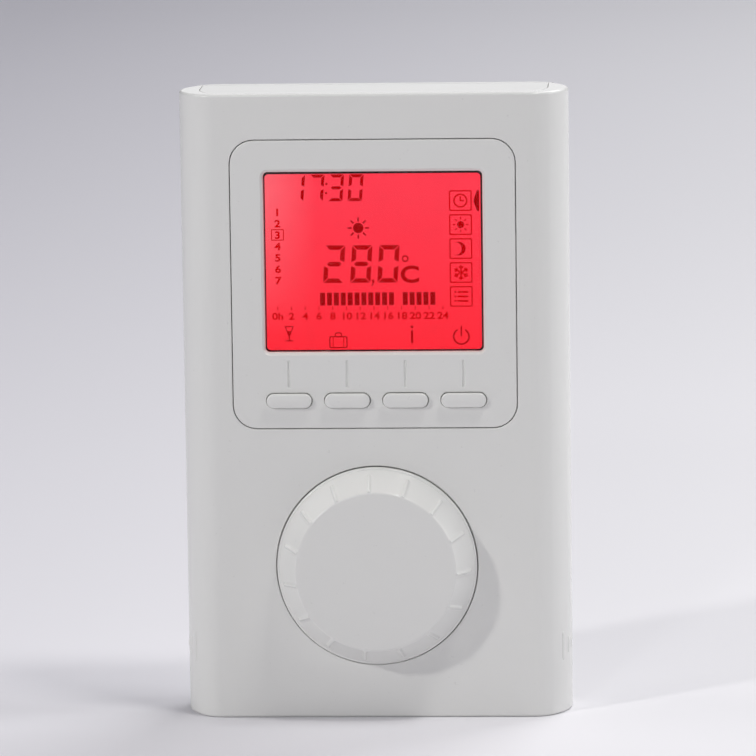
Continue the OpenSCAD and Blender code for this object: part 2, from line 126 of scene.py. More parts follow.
# Painted light: the paper's colour pales towards the back and darkens towards the left. This stands in for
# the lamps' falloff across the floor and backdrop.
distance = add_node(tree, "MapRange", {"Value": axes.outputs["Y"], "From Min": -0.1, "From Max": 1.8})
side = add_node(tree, "MapRange", {"Value": axes.outputs["X"], "From Min": -0.25, "From Max": 0.25})
painted_falloff = add_node(tree, "ValToRGB", {"Fac": distance.outputs["Result"]})
painted_falloff.color_ramp.elements[0].color = srgb(240, 239, 241)
painted_falloff.color_ramp.elements[1].color = srgb(252, 251, 253)
tint = add_node(tree, "Mix", {
    "Factor": side.outputs["Result"], "A": srgb(229, 228, 233), "B": srgb(255, 255, 255)
}, data_type="RGBA")
both = add_node(tree, "Mix", {
    "Factor": 1.0, "A": painted_falloff.outputs["Color"], "B": tint.outputs["Result"]
}, data_type="RGBA", blend_type="MULTIPLY")
grain = add_node(tree, "TexNoise", {"Vector": place, "Scale": 220.0, "Detail": 6.0})
soft = add_node(tree, "Bump", {"Height": grain.outputs["Fac"], "Strength": 0.05, "Distance": 0.0002})
shader = tree.nodes["Principled BSDF"]
tree.links.new(both.outputs["Result"], shader.inputs["Base Color"])
tree.links.new(soft.outputs["Normal"], shader.inputs["Normal"])
shader.inputs["Roughness"].default_value = 0.7
shader.inputs["Specular IOR Level"].default_value = 0.2
sheet = bpy.data.meshes.new("studio_floor")
half = 25.0
corners = [(-half, -half, 0), (half, -half, 0), (half, half, 0), (-half, half, 0)]
sheet.from_pydata(corners, [], [(0, 1, 2, 3)])
sheet.materials.append(paper)
floor = bpy.data.objects.new("studio_floor", sheet)
bpy.context.collection.objects.link(floor)

world = bpy.data.worlds.new("studio_room")
world.use_nodes = True
world.node_tree.nodes["Background"].inputs["Color"].default_value = srgb(226, 228, 250)
world.node_tree.nodes["Background"].inputs["Strength"].default_value = 0.12
bpy.context.scene.world = world


def soft_box(name, towards, reach, size, watts, colour=(1, 1, 1)):
    """Square area light on the line from the middle of the case along `towards`, facing the case."""
    target = Vector((0, 0, CASE_H / 2 * MM))
    light = bpy.data.lights.new(name, "AREA")
    light.size = size
    light.energy = watts
    light.color = colour
    lamp = bpy.data.objects.new(name, light)
    lamp.location = target + Vector(towards).normalized() * reach
    lamp.rotation_mode = "QUATERNION"
    lamp.rotation_quaternion = (lamp.location - target).to_track_quat("Z", "Y")
    bpy.context.collection.objects.link(lamp)


WARM = (1.0, 0.99, 0.96)
soft_box("key_box", (-8.8, -7.4, 6.2), 1.5, 0.10, 5.6, WARM)
soft_box("overhead_box", (0.33, -0.24, 1.0), 1.2, 0.2, 3.8, WARM)
soft_box("overhead_side_box", (0.42, -0.02, 1.0), 1.2, 0.18, 2.0)
soft_box("right_side_box", (0.9, 0.14, 0.35), 0.9, 0.4, 1.8)
soft_box("left_box", (-1.0, 0.0, 0.45), 1.3, 0.5, 2.1)
soft_box("low_front_box", (-0.23, -0.97, 0.42), 1.6, 0.14, 2.5)
soft_box("backdrop_box", (0.9, 1.4, 1.6), 2.3, 1.3, 24.0)
soft_box("rim_box", (0.0, 1.0, 0.17), 3.2, 1.1, 2.8)


# ---- Wall plate ----
# The flat moulding that stays screwed to the wall: white ABS, with a cable opening, two screw
# holes and four tongues that the unit hooks onto. Its edges are broken by the mould.
def moulded_skin():
    """Group for moulded plastic. A slow noise times Drift darkens the Tint and moves the Roughness;
    a fine noise makes the Height of the mould's texture."""
    group = bpy.data.node_groups.new("moulded_skin", "ShaderNodeTree")
    for name, kind, value in (
        ("Tint", "NodeSocketColor", (0.8, 0.8, 0.8, 1)),
        ("Drift", "NodeSocketFloat", 0.04),
        ("Drift Scale", "NodeSocketFloat", 45.0),
        ("Grain Scale", "NodeSocketFloat", 2500.0),
        ("Roughness", "NodeSocketFloat", 0.3),
    ):
        group.interface.new_socket(name, in_out="INPUT", socket_type=kind).default_value = value
    group.interface.new_socket("Color", in_out="OUTPUT", socket_type="NodeSocketColor")
    group.interface.new_socket("Roughness", in_out="OUTPUT", socket_type="NodeSocketFloat")
    group.interface.new_socket("Height", in_out="OUTPUT", socket_type="NodeSocketFloat")
    given = add_node(group, "TexCoord")
    inputs = group.nodes.new("NodeGroupInput")
    place = given.outputs["Object"]
    drift_scale, grain_scale = inputs.outputs["Drift Scale"], inputs.outputs["Grain Scale"]
    cloud = add_node(group, "TexNoise", {"Vector": place, "Scale": drift_scale, "Detail": 4.0})
    fine = add_node(group, "TexNoise", {"Vector": place, "Scale": grain_scale, "Detail": 3.0})
    dust = add_node(group, "TexNoise", {"Vector": place, "Scale": 900.0, "Detail": 2.0, "Roughness": 0.7})
    specks = add_node(group, "MapRange", {
        "Value": dust.outputs["Fac"], "From Min": 0.70, "From Max": 0.80, "To Min": 0.0, "To Max": 0.12
    })
    swing = add_node(group, "Math", {
        0: cloud.outputs["Fac"], 1: inputs.outputs["Drift"]
    }, operation="MULTIPLY")
    loss = add_node(group, "Math", {0: swing.outputs[0], 1: specks.outputs["Result"]}, operation="ADD")
    shade = add_node(group, "Mix", {
        "Factor": loss.outputs[0], "A": inputs.outputs["Tint"], "B": (0.25, 0.24, 0.22, 1)
    }, data_type="RGBA")
    spread = add_node(group, "MapRange", {
        "Value": cloud.outputs["Fac"], "From Min": 0.2, "From Max": 0.8, "To Min": -0.03, "To Max": 0.03
    })
    rough = add_node(group, "Math", {0: inputs.outputs["Roughness"], 1: spread.outputs["Result"]})
    outputs = group.nodes.new("NodeGroupOutput")
    group.links.new(shade.outputs["Result"], outputs.inputs["Color"])
    group.links.new(rough.outputs[0], outputs.inputs["Roughness"])
    group.links.new(fine.outputs["Fac"], outputs.inputs["Height"])
    return group


MOULDED = moulded_skin()


def moulding(name, tint, roughness=0.3, drift=0.04, grain=2500.0, relief=0.08, **sockets):
    """Material of one moulding: the group's colour, roughness and height on a Principled shader."""
    material = bpy.data.materials.new(name)
    material.use_nodes = True
    tree = material.node_tree
    skin = add_node(tree, "Group", node_tree=MOULDED)
    skin.inputs["Tint"].default_value = tint
    skin.inputs["Drift"].default_value = drift
    skin.inputs["Grain Scale"].default_value = grain
    skin.inputs["Roughness"].default_value = roughness
    bump = add_node(tree, "Bump", {
        "Height": skin.outputs["Height"], "Strength": relief, "Distance": 0.00005
    })
    shader = tree.nodes["Principled BSDF"]
    tree.links.new(skin.outputs["Color"], shader.inputs["Base Color"])
    tree.links.new(skin.outputs["Roughness"], shader.inputs["Roughness"])
    tree.links.new(bump.outputs["Normal"], shader.inputs["Normal"])
    for socket, value in sockets.items():
        shader.inputs[socket.replace("_", " ")].default_value = value
    return material


def smoothed(piece, angle=32, by_area=True):
    """Smooth shading with sharp creases above the angle, and normals that follow the large faces."""
    piece.data.shade_smooth()
    piece.data.set_sharp_from_angle(angle=math.radians(angle))
    if by_area:
        weigh = piece.modifiers.new("even_normals", "WEIGHTED_NORMAL")
        weigh.keep_sharp = True


def eased(node, material, radius=0.15):
    """Copy of a CAD moulding with its corners joined, its flats whole and its edges rounded."""
    source = frame["nodes"][node]
    mesh = bmesh.new()
    mesh.from_mesh(source.data)
    bmesh.ops.remove_doubles(mesh, verts=mesh.verts, dist=1e-6)
    bmesh.ops.dissolve_limit(mesh, angle_limit=math.radians(0.3), verts=mesh.verts, edges=mesh.edges)
    data = bpy.data.meshes.new(node + "_moulded")
    mesh.to_mesh(data)
    mesh.free()
    piece = bpy.data.objects.new(node + "_moulded", data)
    bpy.context.collection.objects.link(piece)
    data.materials.append(material)
    bevel = piece.modifiers.new("broken_edges", "BEVEL")
    bevel.width = radius * MM
    bevel.segments = 2
    bevel.limit_method = "ANGLE"
    bevel.angle_limit = math.radians(40)
    bevel.harden_normals = False
    smoothed(piece)
    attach(piece, source["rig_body"])
    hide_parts(node)
    return piece


def dressed(material, *nodes):
    """Gives CAD nodes that stay as they are their material."""
    for node in nodes:
        data = frame["nodes"][node].data
        data.materials.clear()
        data.materials.append(material)


case_white = moulding("case_abs", (0.79, 0.79, 0.775, 1), roughness=0.33, drift=0.05)
eased("wall_plate", case_white, 0.2)


# ---- Mains terminals ----
# A dark nylon block of three poles on the plate. Each has a brass cage with a steel clamping screw,
# and a brass blade that reaches into the unit.
def worn_metal(name, tint, roughness, stretch=(1, 1, 1)):
    """Metal whose tint and roughness drift with a noise, drawn out along one axis as by a tool."""
    material = bpy.data.materials.new(name)
    material.use_nodes = True
    tree = material.node_tree
    place = add_node(tree, "Mapping", {
        "Vector": add_node(tree, "TexCoord").outputs["Object"], "Scale": stretch
    })
    marks = add_node(tree, "TexNoise", {"Vector": place.outputs[0], "Scale": 1500.0, "Detail": 5.0})
    tarnish = add_node(tree, "TexNoise", {"Vector": place.outputs[0], "Scale": 260.0, "Detail": 3.0})
    stain = add_node(tree, "MapRange", {
        "Value": tarnish.outputs["Fac"], "From Min": 0.5, "From Max": 0.8, "To Max": 0.5
    })
    dull = tuple(0.45 * c for c in tint[:3]) + (1,)
    colour = add_node(tree, "Mix", {
        "Factor": stain.outputs["Result"], "A": tint, "B": dull
    }, data_type="RGBA")
    rough = add_node(tree, "MapRange", {
        "Value": marks.outputs["Fac"], "To Min": roughness - 0.1, "To Max": roughness + 0.15
    })
    bump = add_node(tree, "Bump", {"Height": marks.outputs["Fac"], "Strength": 0.15, "Distance": 0.00003})
    shader = tree.nodes["Principled BSDF"]
    shader.inputs["Metallic"].default_value = 1
    tree.links.new(colour.outputs["Result"], shader.inputs["Base Color"])
    tree.links.new(rough.outputs["Result"], shader.inputs["Roughness"])
    tree.links.new(bump.outputs["Normal"], shader.inputs["Normal"])
    return material


dark_nylon = moulding("dark_nylon", (0.045, 0.047, 0.052, 1), roughness=0.45, drift=0.1, relief=0.3)
brass = worn_metal("brass", (0.78, 0.56, 0.24, 1), 0.3, (1, 4, 1))
steel = worn_metal("zinc_plated_steel", (0.66, 0.67, 0.69, 1), 0.3, (1, 1, 4))
eased("terminal_block", dark_nylon, 0.25)
dressed(brass, "terminal_clamps", "contact_blades")
dressed(steel, "terminal_screws")


# ---- Front shell ----
# The glossy white ABS sleeve of the unit: a flat front that runs into an oval side at each end,
# with a hole for the display panel, a round recess for the dial, screw bosses and grip ribs.
class Skin:
    """Points and faces of one piece, in millimetres, added as whole rows and joined by bands."""

    def __init__(self):
        self.points = []
        self.faces = []
        self.count = 0

    def row(self, x, depth, z):
        """Adds points given by X, depth behind the front, and height; returns their numbers."""
        x, depth, z = np.broadcast_arrays(*(np.asarray(v, float) for v in (x, depth, z)))
        self.points.append(np.stack([x, FRONT + depth, z], -1).reshape(-1, 3))
        numbers = np.arange(self.count, self.count + x.size)
        self.count += x.size
        return numbers

    def band(self, a, b, closed=True):
        """Four-sided faces between two rows of equal length."""
        if closed:
            a, b = np.append(a, a[0]), np.append(b, b[0])
        self.faces += np.stack([a[:-1], a[1:], b[1:], b[:-1]], -1).tolist()

    def stack(self, rows, closed=True):
        """Bands through all the rows in turn."""
        for a, b in zip(rows, rows[1:]):
            self.band(a, b, closed)
        return rows

    def flat(self, outer, holes=()):
        """Plane area inside the outer row and outside the rows of the holes."""
        loops = [outer, *holes]
        points = np.concatenate(self.points)
        span = tessellate_polygon([[Vector(p) for p in points[loop]] for loop in loops])
        joined = np.concatenate(loops)
        self.faces += joined[np.array(span)].tolist()

    def piece(self, name, body, slot, material, *nodes, angle=32, by_area=True):
        """Makes the mesh, joins doubles, turns the faces outwards, and hangs the piece on its body."""
        data = bpy.data.meshes.new(name)
        data.from_pydata((np.concatenate(self.points) * MM).tolist(), [], self.faces)
        mesh = bmesh.new()
        mesh.from_mesh(data)
        bmesh.ops.remove_doubles(mesh, verts=mesh.verts, dist=2e-7)
        bmesh.ops.recalc_face_normals(mesh, faces=mesh.faces)
        mesh.to_mesh(data)
        mesh.free()
        data.materials.append(material)
        piece = bpy.data.objects.new(name, data)
        bpy.context.collection.objects.link(piece)
        smoothed(piece, angle, by_area)
        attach(piece, body)
        if nodes:
            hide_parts(*nodes)
        return piece


def arc(centre, radius, start, end, steps):
    """X and depth along a circle's arc, both angles in degrees from +X towards the wall."""
    a = np.radians(np.linspace(start, end, steps))
    return centre[0] + radius * np.cos(a), centre[1] + radius * np.sin(a)


def rounded_loop(x, z, w, h, r, steps=10):
    """Outline of a rectangle with round corners: four quarter circles about the corners' centres."""
    a = np.radians(np.linspace(0, 90, steps))
    a = np.concatenate([a + q * np.pi / 2 for q in range(4)])
    sx = np.repeat([1, -1, -1, 1], steps) * (w / 2 - r)
    sz = np.repeat([1, 1, -1, -1], steps) * (h / 2 - r)
    return x + sx + r * np.cos(a), z + sz + r * np.sin(a)


def circle(x, z, r, steps=72):
    """Circle about (x, z)."""
    a = np.arange(steps) * 2 * np.pi / steps
    return x + r * np.cos(a), z + r * np.sin(a)


def quarter(radius, steps=5):
    """Inset and depth of a rounded edge, from the front face to the wall of the piece."""
    a = np.linspace(0, np.pi / 2, steps)
    return radius * (1 - np.sin(a)), radius * (1 - np.cos(a))


def tube(skin, x, z, r, bore, near, far):
    """Closed ring along the depth, its outer radius r and its bore running from near to far."""
    rows = []
    for radius, depth in ((r, near), (r, far), (bore, far), (bore, near), (r, near)):
        ring_x, ring_z = circle(x, z, radius, 32)
        rows.append(skin.row(ring_x, depth, ring_z))
    skin.stack(rows)


shell_white = moulding("gloss_white_abs", (0.80, 0.80, 0.78, 1), roughness=0.24, drift=0.03, relief=0.05)
case_d, wall, oval_end, oval_r, rear = 22, 2.2, 8, 6, 19.4
inner_x, inner_flat, inner_r, inner_end = 36.8, 31.3, 4.5, 5.5
flat_x = CASE_W / 2 - oval_end
side_r = (oval_end**2 + case_d**2 / 4 - case_d * oval_r) / (2 * (oval_end - oval_r))
inner_d = case_d - 2 * wall
inner_side_r = (inner_end**2 + inner_d**2 / 4 - inner_d * inner_r) / 2
edge_r, lip_r = 0.6, 0.3


def sleeve_side(inset):
    """Half of the sleeve's section: small arc and large arc outside, set in by `inset`, a rounded
    rear lip, then straight and round again along the inside."""
    big = (CASE_W / 2 - side_r, case_d / 2)
    small = (flat_x, oval_r)
    turn = math.degrees(math.atan2(small[1] - big[1], small[0] - big[0]))
    lip = math.degrees(math.asin((rear - lip_r - big[1]) / side_r))
    outside = [arc(small, oval_r - inset, -90, turn, 14), arc(big, side_r - inset, turn, lip, 30)]
    end_x = outside[1][0][-1]
    outside.append(arc((end_x - lip_r, rear - lip_r), lip_r, 20, 90, 4))
    inside_big = (inner_x - inner_side_r, case_d / 2)
    inside_small = (inner_flat, wall + inner_r)
    run, fall = inside_small[0] - inside_big[0], inside_small[1] - inside_big[1]
    inside_turn = math.degrees(math.atan2(fall, run))
    inside = [
        (np.array([inner_x]), np.array([rear])),
        arc(inside_big, inner_side_r, 0, inside_turn, 9),
        arc(inside_small, inner_r, inside_turn, -90, 10),
    ]
    return tuple(np.concatenate([part[k] for part in outside + inside]) for k in (0, 1))


shell = Skin()
insets, rises = quarter(edge_r)
levels = list(zip(insets, rises))
levels += [(i, CASE_H - z) for i, z in reversed(levels)]
right_rows = []
left_rows = []
for inset, z in levels:
    x, depth = sleeve_side(inset)
    right_rows.append(shell.row(x, depth, z))
    left_rows.append(shell.row(-x, depth, z))
shell.stack(right_rows, closed=False)
shell.stack(left_rows, closed=False)
for end in (0, -1):
    shell.flat(np.concatenate([right_rows[end], left_rows[end][::-1]]))
corner_count = len(insets)
for column in (0, -1):
    bars = [np.array([a[column], b[column]]) for a, b in zip(right_rows, left_rows)]
    shell.stack(bars[:corner_count], closed=False)
    shell.stack(bars[corner_count:], closed=False)
# Hole for the panel: a small round edge, then straight through the wall
seam = 0.17
panel_w, panel_h, panel_r, panel_z = 59.7, 61, 5, 92.8
hole_edge_r = 0.28
hole_edge = [(hole_edge_r * (1 - math.sin(a)), hole_edge_r * (1 - math.cos(a)))
             for a in np.linspace(0, math.pi / 2, 5)]
hole_rows = []
for grow, depth in hole_edge + [(0, wall)]:
    wide, high = panel_w + 2 * (seam + grow), panel_h + 2 * (seam + grow)
    x, z = rounded_loop(0, panel_z, wide, high, panel_r + seam + grow)
    hole_rows.append(shell.row(x, depth, z))
shell.stack(hole_rows)
# Recess for the dial: round edge, wall, floor, bush hole, and the disc's back
dial_z = (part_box("encoder_shaft")[0].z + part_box("encoder_shaft")[1].z) / 2 / MM
recess_r, recess_floor, bush_hole_r, floor_back, disc_r = 21.38, 1.4, 3.8, 3.0, 23.05
edge_share = 0.7
recess_rows = []
for r, depth in [(recess_r + edge_share * g, edge_share * d) for g, d in hole_edge] + [
    (recess_r, recess_floor), (bush_hole_r, recess_floor), (bush_hole_r, floor_back),
    (disc_r, floor_back), (disc_r, wall),
]:
    x, z = circle(0, dial_z, r, 120)
    recess_rows.append(shell.row(x, depth, z))
shell.stack(recess_rows)
low, high = corner_count - 1, corner_count
for column in (0, -1):
    corners = np.array([
        right_rows[low][column], right_rows[high][column], left_rows[high][column], left_rows[low][column]
    ])
    shell.flat(corners, (hole_rows[column], recess_rows[column]))
# Bosses for the case screws, and shorter posts that carry the board, all sunk into the front wall
boss_root = wall - 0.3
for side_sign in (-1, 1):
    for z in (5.2, 128.2):
        tube(shell, side_sign * 31.5, z, 2.8, 1.18, boss_root, 17.8)
    for z in (13, 58):
        tube(shell, side_sign * 31, z, 2, 0.93, boss_root, 6.6)


def grip(skin, side, angle, length):
    """Low upright bump, a rod sunk in the oval side at that angle round its large arc. Its radius
    falls to nothing at both ends as the root of one minus the square of the way along."""
    r, sink, middle, taper = 0.7, 0.52, 14.5, 1.2
    x = side * (CASE_W / 2 - side_r + (side_r - sink) * math.cos(math.radians(angle)))
    depth = case_d / 2 - (side_r - sink) * math.sin(math.radians(angle))
    way = np.sin(np.radians(np.linspace(-86, 86, 16)))
    height = way * taper + np.sign(way) * (length / 2 + 0.45 - taper)
    a = np.arange(24) * 2 * np.pi / 24
    rows = [skin.row(x + q * np.cos(a), depth + q * np.sin(a), middle + h)
            for q, h in zip(r * np.sqrt(1 - way**2), height)]
    skin.stack(rows)
    skin.faces += [rows[0].tolist(), rows[-1].tolist()]


for side_sign in (-1, 1):
    for angle, length in ((30.5, 6.2), (19.5, 3.8), (10, 2)):
        grip(shell, side_sign, angle, length)
shell.piece("front_shell_moulded", "unit", "shell_plastic", shell_white, "front_shell")


# ---- Rear case ----
# The back half of the unit, in plainer white ABS: the rear wall with the battery bay and the
# wiring well, the two caps that close the sleeve's ends, and the air slots underneath.
eased("rear_case", case_white, 0.15)


# ---- Display panel ----
# A separate rounded square of white ABS set flush in the sleeve. It has a bevelled opening for the
# display, four key holes, and an engraved line above each key; a flange behind holds it.
panel_white = moulding("satin_white_abs", (0.80, 0.80, 0.78, 1), roughness=0.34, drift=0.03, relief=0.09)
key_w, key_h, key_gap, key_z = 9.5, 3.0, 0.14, 68.2
key_xs = [(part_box(f"key_{i}")[0].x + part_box(f"key_{i}")[1].x) / 2 / MM for i in (1, 2, 3, 4)]
window_w, window_h, window_z = 46, 38.2, 97.5
panel_back = 3.0
panel = Skin()


def ringed(skin, x, z, w, h, r, rows, steps=10):
    """Rows of one rounded outline, each given by how much it grows and by its depth."""
    made = []
    for grow, depth in rows:
        lx, lz = rounded_loop(x, z, w + 2 * grow, h + 2 * grow, r + grow, steps)
        made.append(skin.row(lx, depth, lz))
    return skin.stack(made)


rim = [(-i, d) for i, d in zip(*quarter(0.25))]
flange = 1.45
outer = ringed(panel, 0, panel_z, panel_w, panel_h, panel_r,
               rim + [(0, wall), (flange, wall), (flange, panel_back)])
chamfer = [(0.6, 0), (0.52, 0.06), (0.06, 0.55), (0, 0.65), (0, panel_back)]
fronts, backs = [], []
hole = ringed(panel, 0, window_z, window_w, window_h, 1.0, chamfer)
fronts.append(hole[0])
backs.append(hole[-1])
key_hole_r = 0.18
key_edge = [(key_hole_r * (1 - math.sin(a)), key_hole_r * (1 - math.cos(a)))
            for a in np.linspace(0, math.pi / 2, 4)]
groove_side = [(0.12, 0), (0.06, 0.03), (-0.12, 0.3), (-0.2, 0.32)]
for x in key_xs:
    hole = ringed(panel, x, key_z, key_w + 2 * key_gap, key_h + 2 * key_gap, key_h / 2 + key_gap - 0.01,
                  key_edge + [(0, panel_back)])
    fronts.append(hole[0])
    backs.append(hole[-1])
    groove = ringed(panel, x, key_z + 5.6, 0.5, 5.8, 0.24, groove_side, 5)
    fronts.append(groove[0])
    panel.faces.append(groove[-1].tolist())
panel.flat(outer[0], fronts)
panel.flat(outer[-1], backs)
panel.piece("display_panel_moulded", "unit", "panel_plastic", panel_white, "display_panel")


# ---- Display window ----
# A clear acrylic pane held behind the panel's opening, with a black border printed on its back. The border
# is wider along the top and right, where it is painted shade of the gap.
clear = bpy.data.materials.new("clear_acrylic")
clear.use_nodes = True
tree = clear.node_tree
haze = add_node(tree, "TexNoise", {
    "Vector": add_node(tree, "TexCoord").outputs["Object"], "Scale": 700.0, "Detail": 4.0
})
smear = add_node(tree, "MapRange", {"Value": haze.outputs["Fac"], "To Min": 0.002, "To Max": 0.014})
shader = tree.nodes["Principled BSDF"]
tree.links.new(smear.outputs["Result"], shader.inputs["Roughness"])
shader.inputs["Base Color"].default_value = (1, 1, 1, 1)
shader.inputs["Transmission Weight"].default_value = 1
shader.inputs["IOR"].default_value = 1.15
pane = Skin()
play = 0.1
rows = ringed(pane, 0, window_z, window_w - play, window_h - play, 0.95, [(-0.1, 1.3), (0, 1.4), (0, 2.9)])
pane.flat(rows[0])
pane.flat(rows[-1])
pane.piece("display_window_pane", "unit", "window_clear", clear, "display_window")
black_print_and_gap_shade = moulding("black_print_and_gap_shade", (0.006, 0.008, 0.008, 1), roughness=0.5, drift=0.02)
border = Skin()
rows = []
print_near, print_far = 2.92, 2.98
# The border is wider along the top and right than along the bottom and left. That extra width is painted
# shade of the gap between the opening and the cell.
outside, inside = (0, window_z, 45.9, 38.1, 0.95), (-0.1, 97.25, 45.3, 37.3, 0.8)
for x, z, w, h, r, depth in (
    (*outside, print_near), (*inside, print_near), (*inside, print_far), (*outside, print_far),
):
    lx, lz = rounded_loop(x, z, w, h, r)
    rows.append(border.row(lx, depth, lz))
border.stack(rows + rows[:1])
border.piece("window_border", "unit", "window_clear", black_print_and_gap_shade)


# ---- Liquid crystal cell ----
# A glass cell lit red from behind. The red pales towards the top, and a painted reflection turns it pinker
# at the upper left. Its dark segments show the time, the temperature, the day, the daily programme and plain
# symbols.
lit = bpy.data.materials.new("lit_cell")
lit.use_nodes = True
tree = lit.node_tree
place = add_node(tree, "TexCoord").outputs["Object"]
axes = add_node(tree, "SeparateXYZ", {"Vector": place})
rise = add_node(tree, "MapRange", {"Value": axes.outputs["Z"], "From Min": 0.078, "From Max": 0.112})
glow = add_node(tree, "ValToRGB", {"Fac": rise.outputs["Result"]})
glow.color_ramp.elements[0].color = srgb(254, 38, 54)
glow.color_ramp.elements[1].color = srgb(254, 58, 77)
# Painted reflection: towards the upper left corner the emitted red turns pale pink. This stands in for a
# reflection on the glass.
leftness = add_node(tree, "MapRange", {
    "Value": axes.outputs["X"], "From Min": -0.012, "From Max": -0.0235, "To Min": 0.0, "To Max": 0.75
})
reach = add_node(tree, "MapRange", {
    "Value": axes.outputs["Z"], "From Min": 0.082, "From Max": 0.112, "To Min": 0.0, "To Max": 1.0
})
corner = add_node(tree, "Math", {0: leftness.outputs[0], 1: reach.outputs[0]}, operation="MULTIPLY")
painted_reflection = add_node(tree, "Mix", {
    "Factor": corner.outputs[0], "A": glow.outputs["Color"], "B": srgb(254, 112, 124)
}, data_type="RGBA")
streak = add_node(tree, "TexNoise", {"Vector": place, "Scale": 420.0, "Detail": 3.0})
flicker = add_node(tree, "MapRange", {"Value": streak.outputs["Fac"], "To Min": 0.93, "To Max": 1.07})
shine = add_node(tree, "Mix", {
    "Factor": 1.0, "A": painted_reflection.outputs["Result"], "B": flicker.outputs["Result"]
}, data_type="RGBA", blend_type="MULTIPLY")
shader = tree.nodes["Principled BSDF"]
shader.inputs["Base Color"].default_value = (0.01, 0.0, 0.0, 1)
shader.inputs["Roughness"].default_value = 0.3
shader.inputs["Specular IOR Level"].default_value = 0.02
shader.inputs["Emission Strength"].default_value = 1.0
tree.links.new(shine.outputs["Result"], shader.inputs["Emission Color"])
dressed(lit, "lcd_cell")

INK_NEAR, INK_FAR = 3.03, 3.08


def lcd_ink(name, colour):
    """Material of switched segments: the red behind, mostly held back, with a faint mottle."""
    material = bpy.data.materials.new(name)
    material.use_nodes = True
    tree = material.node_tree
    mottle = add_node(tree, "TexNoise", {
        "Vector": add_node(tree, "TexCoord").outputs["Object"], "Scale": 1500.0, "Detail": 2.0
    })
    dim = tuple(0.88 * c for c in colour[:3]) + (1,)
    shade = add_node(tree, "Mix", {
        "Factor": mottle.outputs["Fac"], "A": colour, "B": dim
    }, data_type="RGBA")
    shader = tree.nodes["Principled BSDF"]
    shader.inputs["Base Color"].default_value = (0.01, 0.0, 0.0, 1)
    shader.inputs["Roughness"].default_value = 0.4
    shader.inputs["Specular IOR Level"].default_value = 0.02
    shader.inputs["Emission Strength"].default_value = 1.0
    tree.links.new(shade.outputs["Result"], shader.inputs["Emission Color"])
    return material


def segment(skin, outer, holes=()):
    """Thin closed plate of ink inside the outer outline and outside the holes."""
    near, far = [], []
    for x, z in (outer, *holes):
        pair = [skin.row(x, depth, z) for depth in (INK_NEAR, INK_FAR)]
        skin.band(*pair)
        near.append(pair[0])
        far.append(pair[1])
    skin.flat(near[0], near[1:])
    skin.flat(far[0], far[1:])


def polygon(*corners):
    """X and Z of an outline given by its corners."""
    return np.array(corners, float).T


def seven(skin, digit, x, z, w, h, t, slant):
    """Digit of seven mitred bars: x, z is its lower left corner, t a bar's thickness, and each
    point leans right by the slant times its height."""
    gap, notch, mid = 0.16 * t, 0.45 * t, h / 2
    right_high = [(w, h - gap), (w, mid + notch), (w - t, mid + notch + t / 2), (w - t, h - t - gap)]
    right_low = [(u, h - v) for u, v in right_high]
    top = [(gap, h), (w - gap, h), (w - t - gap, h - t), (t + gap, h - t)]
    in_left, in_right = t + gap, w - t - gap
    bars = {
        "a": top, "b": right_high, "c": right_low, "d": [(u, h - v) for u, v in top],
        "e": [(w - u, v) for u, v in right_low], "f": [(w - u, v) for u, v in right_high],
        "g": [(in_left - t / 2, mid), (in_left, mid + t / 2), (in_right, mid + t / 2),
              (in_right + t / 2, mid), (in_right, mid - t / 2), (in_left, mid - t / 2)],
    }
    shown = {"0": "abcdef", "1": "bc", "2": "abged", "3": "abgcd", "7": "abc", "8": "abcdefg"}
    for letter in shown[digit]:
        u, v = np.array(bars[letter]).T
        segment(skin, (x + u + slant * v, z + v))


def figure(skin, text, x, z, height, weight=0.0):
    """Plain numeral or letter from the built-in font, widened, centred on x, its foot at z."""
    cap_share, widening = 0.73, 1.18
    curve = bpy.data.curves.new("figure", "FONT")
    curve.body = text
    curve.size = height / cap_share
    curve.align_x = "CENTER"
    curve.offset = weight
    curve.extrude = (INK_FAR - INK_NEAR) / 2
    curve.resolution_u = 4
    holder = bpy.data.objects.new("figure", curve)
    bpy.context.collection.objects.link(holder)
    bpy.context.view_layer.update()
    graph = bpy.context.evaluated_depsgraph_get()
    mesh = bpy.data.meshes.new_from_object(holder.evaluated_get(graph))
    flat = np.zeros(len(mesh.vertices) * 3)
    mesh.vertices.foreach_get("co", flat)
    flat = flat.reshape(-1, 3)
    numbers = skin.row(x + widening * flat[:, 0], (INK_NEAR + INK_FAR) / 2 - flat[:, 2], z + flat[:, 1])
    skin.faces += [[int(numbers[i]) for i in p.vertices] for p in mesh.polygons]
    bpy.data.objects.remove(holder)
    bpy.data.curves.remove(curve)
    bpy.data.meshes.remove(mesh)


def rays(skin, x, z, count, inner, outer, t):
    """Short bars that point outwards all round."""
    for a in np.arange(count) * 2 * np.pi / count:
        along = np.array([math.cos(a), math.sin(a)])
        across = np.array([-along[1], along[0]]) * t / 2
        ends = np.array([along * inner - across, along * outer - across * 0.8,
                         along * outer + across * 0.8, along * inner + across])
        segment(skin, (x + ends[:, 0], z + ends[:, 1]))


inked = Skin()
dark = Skin()
for i, digit in enumerate("1730"):
    seven(inked, digit, -17.66 + 4.1 * i, 110.1, 3.0, 5.65, 0.64, 0.08)
for i, digit in enumerate("280"):
    seven(inked, digit, -10.75 + 5.71 * i, 92.8, 4.25, 7.94, 0.93, 0.067)
for z in (111.85, 113.75):
    segment(inked, circle(-9.86 + 0.06 * (z - 111.85), z, 0.24, 16))
segment(inked, polygon((-0.55, 93.45), (0.0, 93.45), (0.05, 92.95), (-0.35, 92.1), (-0.6, 92.15),
                      (-0.3, 92.8)))
segment(inked, circle(6.59, 97.85, 0.72, 32), [circle(6.59, 97.85, 0.42, 32)])
figure(inked, "C", 7.5, 92.85, 3.6, 0.13)
